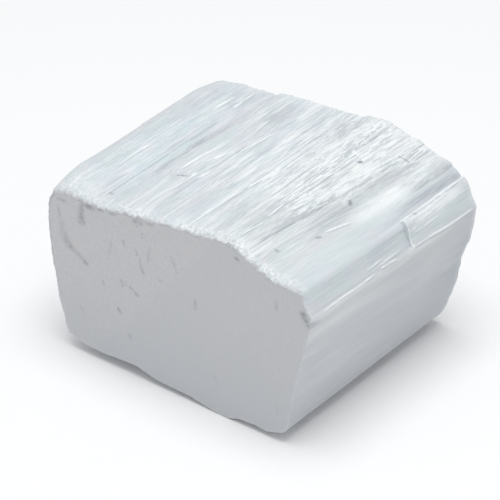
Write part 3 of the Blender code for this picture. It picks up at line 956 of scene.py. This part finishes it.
class Nodes:
    """A short way to add nodes to a material and join them up."""

    def __init__(self, material):
        material.use_nodes = True
        self.tree = material.node_tree
        self.shader = self.tree.nodes["Principled BSDF"]

    def add(self, kind, settings=None, **inputs):
        node = self.tree.nodes.new(kind)
        for name, value in (settings or {}).items():
            setattr(node, name, value)
        for name, value in inputs.items():
            self.feed(node.inputs[name], value)
        return node

    def feed(self, socket, value):
        if isinstance(value, bpy.types.NodeSocket):
            self.tree.links.new(value, socket)
        else:
            socket.default_value = value

    def operate(self, kind, settings, values, **inputs):
        """Adds a node of a kind whose inputs are fed in turn, or by name."""
        node = self.add(kind, settings, **inputs)
        for socket, value in zip(node.inputs, values):
            self.feed(socket, value)
        return node

    def math(self, operation, first, second=0.0, clamp=False):
        settings = {"operation": operation, "use_clamp": clamp}
        return self.operate("ShaderNodeMath", settings, (first, second)).outputs[0]

    def times(self, first, second):
        return self.math("MULTIPLY", first, second)

    def places(self, operation, *values, **inputs):
        """A place worked out from others, or the number where two give a distance or a product."""
        node = self.operate("ShaderNodeVectorMath", {"operation": operation}, values, **inputs)
        return node.outputs["Value" if operation in ("DISTANCE", "DOT_PRODUCT") else "Vector"]

    def mix(self, share, first, second):
        """The first colour where the share is 0, the second where it is 1."""
        node = self.add("ShaderNodeMix", {"data_type": "RGBA"})
        self.feed(node.inputs[0], share)
        for socket, colour in ((node.inputs[6], first), (node.inputs[7], second)):
            self.feed(socket, (*colour, 1.0) if isinstance(colour, tuple) else colour)
        return node.outputs[2]

    def tinge(self, base, colour, value, low, high, strength, where=None, kind="SMOOTHSTEP"):
        """The base, going `strength` of the way to a colour as the value goes from low to high."""
        share = self.ramp(value, low, high, 0.0, strength, kind)
        return self.mix(share if where is None else self.times(share, where), base, colour)

    def set_shader(self, values):
        for name, value in values.items():
            self.feed(self.shader.inputs[name], value)

    def value(self, name):
        return self.add("ShaderNodeAttribute", {"attribute_name": name}).outputs["Fac"]

    def reading(self, place, axis):
        return self.add("ShaderNodeSeparateXYZ", Vector=place).outputs[axis]

    def noise(self, place, scale, detail=2.0, roughness=0.5):
        node = self.add("ShaderNodeTexNoise", Vector=place, Scale=scale, Detail=detail, Roughness=roughness)
        return node.outputs[0]

    def ramp(self, value, low, high, to_low=0.0, to_high=1.0, kind="SMOOTHSTEP"):
        settings = {"interpolation_type": kind}
        return self.operate("ShaderNodeMapRange", settings, (value, low, high, to_low, to_high)).outputs[0]

    def drawn_out(self, place, share):
        """Places with the fibres' direction shortened, so that a noise's patches come out long."""
        return self.add("ShaderNodeMapping", Vector=place, Scale=(1.0, share, 1.0)).outputs[0]


def mark_mask(nodes, place, marks, upright):
    """How dark a face's marks make each place, 0 to 1: they lie in x and z if upright, else in x and y."""
    keep = (1, 0, 1) if upright else (1, 1, 0)
    shift = nodes.add("ShaderNodeTexNoise", Vector=place, Scale=MARK_WAVES, Detail=2).outputs["Color"]
    shift = nodes.places("SUBTRACT", shift, (0.5, 0.5, 0.5))
    flat = nodes.places("MULTIPLY", nodes.places("MULTIPLY_ADD", shift, (MARK_WANDER,) * 3, place), keep)
    total = 0.0
    for start_x, start_v, end_x, end_v, width, darkness in marks:
        ends = [(x, 0, v) if upright else (x, v, 0) for x, v in ((start_x, start_v), (end_x, end_v))]
        start = Vector(ends[0]) * MM
        run = Vector(ends[1]) * MM - start
        arm = nodes.places("SUBTRACT", flat, start)
        reach = nodes.places("DOT_PRODUCT", arm, run / run.length_squared)
        part = nodes.math("MULTIPLY", reach, 1.0, clamp=True)
        gap = nodes.places("DISTANCE", arm, nodes.places("SCALE", run, Scale=part))
        total = nodes.math("MAXIMUM", total, nodes.ramp(gap, 1.9 * width * MM, 0.0, 0.0, darkness))
    return total


def turned_at_back(nodes, place):
    """The place, turned half round on the back sawn face so that its marks aren't a copy of the front's."""
    behind = nodes.math("GREATER_THAN", nodes.reading(place, "Y"), 0.0)
    turn = nodes.math("SUBTRACT", 1.0, nodes.times(behind, 2.0))
    turn = nodes.add("ShaderNodeCombineXYZ", X=turn, Y=1.0, Z=turn).outputs[0]
    lift = nodes.add("ShaderNodeCombineXYZ", Z=nodes.times(behind, BACK_MARKS_LIFT)).outputs[0]
    return nodes.places("MULTIPLY_ADD", place, turn, lift)


def tinted_body(nodes, place):
    """The milky body: its tints, its soft bands of green and rose, its greyer sides darkened by painted
    shade, and its broad tone, partly the stone's own and partly painted light and shade.
    """
    body = nodes.mix(nodes.ramp(nodes.value("tint"), -0.8, 1.2), LAVENDER, MINT)
    body = nodes.tinge(body, PEARL, nodes.value("pearl"), 0, 1, 0.8)
    hue = nodes.noise(nodes.drawn_out(place, HUE_STRETCH), HUE_BANDS, 2, 0.6)
    body = nodes.tinge(body, GREENISH, hue, 0.5, 0.62, 0.5)
    body = nodes.tinge(body, ROSY, hue, 0.5, 0.38, 0.5)
    # the sides greyer and darker: partly their own grey, partly painted shade
    body = nodes.mix(nodes.value("side"), body, SIDE_GREY_AND_SHADE)
    body = nodes.tinge(body, WHITE, nodes.value("tone"), 0, FULL_TONE, 0.95, kind="LINEAR")
    return nodes.tinge(body, DARK_TONE_AND_SHADE, nodes.value("tone"), 0, -FULL_TONE, 0.95, kind="LINEAR")


def threaded(nodes, body, stretched, patches):
    """The body under light and dark threads, and white hairs where a noise crosses its middle value."""
    streaky_value = nodes.value("streaky")
    threads = nodes.noise(stretched, THREADS, 2, 0.6)
    body = nodes.tinge(body, WHITE, threads, 0.5, 0.6, 0.35, streaky_value)
    body = nodes.tinge(body, DARK_TONE_AND_SHADE, threads, 0.46, 0.38, 0.24, streaky_value)
    wave = nodes.math("SUBTRACT", nodes.noise(stretched, HAIRS, 1), 0.5)
    hairs = nodes.ramp(nodes.math("ABSOLUTE", wave), 0.1, 0.0)
    hairs = nodes.times(hairs, nodes.ramp(patches, 0.2, 1, 0.05, 0.9))
    return nodes.mix(nodes.times(hairs, streaky_value), body, WHITE)


def chipped(nodes, body, place, patches):
    """The body with bright chips and crumbs and painted shade in the gaps, where it is splintered."""
    splintered_value = nodes.value("splintered")
    chips = nodes.noise(nodes.drawn_out(place, CHIP_STRETCH), THREADS, 2, 0.55)
    crumbs = nodes.noise(nodes.drawn_out(place, CRUMB_STRETCH), CRUMBS)
    body = nodes.tinge(body, WHITE, chips, 0.54, 0.6, 0.9, splintered_value)
    crumbly = nodes.times(splintered_value, patches)
    body = nodes.tinge(body, POWDER_LIGHT, crumbs, 0.54, 0.62, 0.75, crumbly)
    # painted shade in the gaps between the chips
    return nodes.tinge(body, DARK_TONE_AND_SHADE, chips, 0.44, 0.38, 0.35, splintered_value)


def fibrous_colour(nodes, place, stretched):
    """Milky crystal under crisp threads, with bright chips where it is splintered, painted highlight and
    shade on the layers' edges, its marks, and painted highlights on split fibres.
    """
    patches = nodes.ramp(nodes.noise(nodes.drawn_out(place, PATCH_STRETCH), PATCHES), 0.4, 0.6)
    body = threaded(nodes, tinted_body(nodes, place), stretched, patches)
    body = chipped(nodes, body, place, patches)
    # painted highlight on layer edges facing left, painted shade on those facing right
    body = nodes.tinge(body, WHITE, nodes.value("edge"), 0.12, 0.7, 0.8)
    body = nodes.tinge(body, DARK_TONE_AND_SHADE, nodes.value("edge"), -0.12, -0.7, 0.35)
    above = nodes.math("GREATER_THAN", nodes.reading(place, "Z"), SPECKS_ABOVE)
    body = nodes.mix(nodes.times(mark_mask(nodes, place, TOP_MARKS, False), above), body, DIRT_AND_SHADE)
    # painted highlights on the split fibres and the flake's broken end
    return nodes.mix(nodes.value("glint"), body, HIGHLIGHT_WHITE)


def sawn_colour(nodes, place):
    """The matte sawn faces: faint clouds, greyer towards the foot, with scratches and smudges, and painted
    shade under the rim and in the corner notch.
    """
    cloud = nodes.noise(place, CLOUDS, 3, 0.6)
    speck = nodes.noise(place, SPECKS, 2, 0.6)
    pores = nodes.noise(place, PORES, 2, 0.6)
    grey = nodes.tinge(SAWN_GREY, SAWN_GREEN, cloud, 0.35, 0.65, 0.5)
    grey = nodes.tinge(grey, DARK_TONE_AND_SHADE, speck, 0.55, 0.75, 0.2)
    grey = nodes.tinge(grey, DARK_TONE_AND_SHADE, pores, 0.5, 0.3, 0.25)
    grey = nodes.tinge(grey, WHITE, pores, 0.5, 0.7, 0.12)
    beyond = nodes.places("DOT_PRODUCT", place, BORDER_ACROSS)
    beyond = nodes.ramp(nodes.math("ADD", beyond, nodes.times(cloud, 3 * MM)), *BORDER_RISE)
    grey = nodes.mix(nodes.times(beyond, 0.4), grey, SAWN_GREEN)
    grey = nodes.mix(nodes.times(beyond, 0.1), grey, DARK_TONE_AND_SHADE)
    smudged = nodes.ramp(nodes.noise(place, SMUDGES, 3, 0.6), 0.38, 0.6, 0.55, 1.25)
    marks = nodes.times(mark_mask(nodes, turned_at_back(nodes, place), MARKS, True), smudged)
    return nodes.mix(marks, grey, DIRT_AND_SHADE)


def selenite_material():
    """Milky satin spar: silky streaks along Y, powdery where crushed, matte grey where sawn."""
    material = bpy.data.materials.new("satin_spar_fine")
    nodes = Nodes(material)
    place = nodes.add("ShaderNodeTexCoord").outputs["Object"]
    stretched = nodes.drawn_out(place, STREAK_STRETCH)
    fine_streaks = nodes.noise(stretched, STREAKS, 3, 0.6)
    powder = nodes.noise(place, POWDER, 3, 0.7)
    crushed_value = nodes.value("crushed")
    sawn_value = nodes.value("sawn")

    powdery = nodes.mix(nodes.ramp(powder, 0.4, 0.6), POWDER_DARK, POWDER_LIGHT)
    fibrous = nodes.mix(crushed_value, fibrous_colour(nodes, place, stretched), powdery)
    colour = nodes.mix(sawn_value, fibrous, sawn_colour(nodes, place))
    # painted shade under the rim's border, with some dirt
    colour = nodes.mix(nodes.value("rim_shade_and_dirt"), colour, DIRT_AND_SHADE)
    # painted shade, darker towards the foot
    colour = nodes.tinge(colour, DARK_TONE_AND_SHADE, nodes.reading(place, "Z"), FOOT_SHADE_TOP, 0, 0.3)

    bump_height = nodes.times(fine_streaks, nodes.math("SUBTRACT", 1.0, sawn_value))
    roughened = nodes.math("ADD", nodes.times(crushed_value, 1.5), 0.1)
    bump_height = nodes.math("ADD", bump_height, nodes.times(powder, roughened))
    bump = nodes.add("ShaderNodeBump", Strength=0.4, Distance=BUMP_DEPTH, Height=bump_height)
    matte = nodes.times(nodes.math("MAXIMUM", sawn_value, crushed_value), 0.2)
    nodes.set_shader({
        "Base Color": colour,
        "Roughness": nodes.math("ADD", nodes.ramp(fine_streaks, 0.3, 0.7, 0.38, 0.5), matte),
        "Normal": bump.outputs[0],
        "Subsurface Weight": 0.3,
        "Subsurface Radius": (0.9, 1.0, 1.1),
        "Subsurface Scale": LIGHT_DEPTH,
        "IOR": GYPSUM_IOR,
    })
    return material


def floor_material():
    """A pale floor, faintly mottled so that it isn't one flat colour."""
    material = bpy.data.materials.new("pale_floor")
    nodes = Nodes(material)
    place = nodes.add("ShaderNodeTexCoord").outputs["Object"]
    cloud = nodes.noise(place, FLOOR_CLOUDS)
    nodes.set_shader({
        "Base Color": nodes.mix(cloud, FLOOR_PALE, FLOOR_PALER),
        "Roughness": nodes.ramp(cloud, 0.3, 0.7, 0.8, 0.9),
        "Specular IOR Level": 0.1,
    })
    return material


# ---------- the scene

FLOOR_SIZE = 6.0
FLOOR_GAP = 0.02 * MM  # below the base, so that the two don't flicker

CAMERA_AZIMUTH = 37.917  # degrees
CAMERA_ELEVATION = 31.744
CAMERA_DISTANCE = 355.59 * MM
CAMERA_AIM = (14.032 * MM, -20.57 * MM, 31.195 * MM)
LENS = 180.0  # mm
SENSOR = 36.0

LAMP_PLACE = (50 * MM, -50 * MM, 600 * MM)
LAMP_AIM = (0, 0, 20 * MM)
LAMP_SIZE = 450 * MM
LAMP_POWER = 2.02  # W
SKY_COLOUR = (0.97, 0.985, 1.0)
SKY_STRENGTH = 0.55


def placed(name, data, place=(0, 0, 0), facing=None):
    """A new object in the scene: a lamp or a camera looks the way it is facing."""
    thing = bpy.data.objects.new(name, data)
    thing.location = place
    if facing is not None:
        thing.rotation_mode = "QUATERNION"
        thing.rotation_quaternion = facing.to_track_quat("-Z", "Y")
    bpy.context.collection.objects.link(thing)
    return thing


def make_block():
    block = placed("block", block_mesh())
    block.data.materials.append(selenite_material())
    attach(block, "root")
    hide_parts("selenite_block")


def make_floor():
    half = FLOOR_SIZE / 2
    mesh = bpy.data.meshes.new("floor")
    corners = [(-half, -half, 0), (half, -half, 0), (half, half, 0), (-half, half, 0)]
    mesh.from_pydata(corners, [], [(0, 1, 2, 3)])
    mesh.materials.append(floor_material())
    floor = placed("floor", mesh, (0, 0, -FLOOR_GAP))


def make_lamp():
    data = bpy.data.lights.new("overhead", "AREA")
    data.shape = "DISK"
    data.size = LAMP_SIZE
    data.energy = LAMP_POWER
    placed("overhead", data, LAMP_PLACE, Vector(LAMP_AIM) - Vector(LAMP_PLACE))


def make_studio():
    world = bpy.data.worlds.new("studio")
    world.use_nodes = True
    background = world.node_tree.nodes["Background"]
    background.inputs["Color"].default_value = (*SKY_COLOUR, 1.0)
    background.inputs["Strength"].default_value = SKY_STRENGTH
    bpy.context.scene.world = world
    make_lamp()
    bpy.context.scene.view_settings.view_transform = "Standard"


def make_camera():
    azimuth = math.radians(CAMERA_AZIMUTH)
    elevation = math.radians(CAMERA_ELEVATION)
    flat = math.cos(elevation)
    back = Vector((math.sin(azimuth) * flat, -math.cos(azimuth) * flat, math.sin(elevation)))
    data = bpy.data.cameras.new("camera")
    data.lens = LENS
    data.sensor_width = SENSOR
    data.clip_start = 0.01
    data.clip_end = 20.0
    camera = placed("camera", data, Vector(CAMERA_AIM) + back * CAMERA_DISTANCE, -back)
    bpy.context.scene.camera = camera


make_block()
make_floor()
make_studio()
make_camera()
